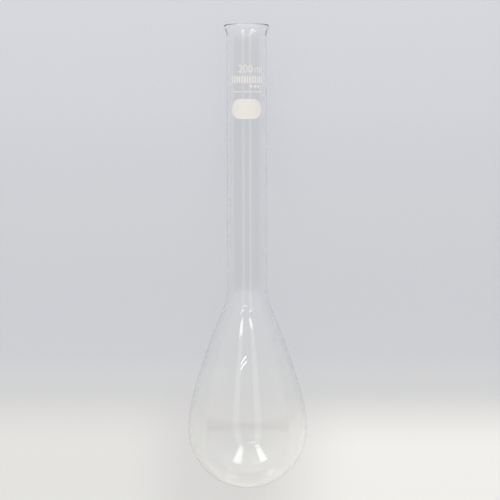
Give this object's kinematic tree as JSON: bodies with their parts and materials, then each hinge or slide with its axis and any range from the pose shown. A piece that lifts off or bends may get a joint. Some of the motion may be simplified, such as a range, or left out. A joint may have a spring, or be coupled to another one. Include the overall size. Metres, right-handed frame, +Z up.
{
  "type": "kjeldahl flask",
  "caption": "Glass digestion flask with a round pear-shaped bulb, a long straight neck, a flared lip and a white enamel writing spot.",
  "frame": {"origin": "on the table, under the middle of the lying flask", "axes": "+Z up from the table, +Y towards the mouth; the flask lies on its bulb and lip, with its axis dipping 5.2 degrees towards the mouth"},
  "size_m": [0.0715, 0.2802, 0.0716],
  "materials": {
    "clear_glass": "clear, smooth, fire-polished",
    "white_enamel": "matte fired enamel"
  },
  "bodies": {
    "root": {"flask": "clear_glass", "marking_spot": "white_enamel"}
  },
  "joints": []
}
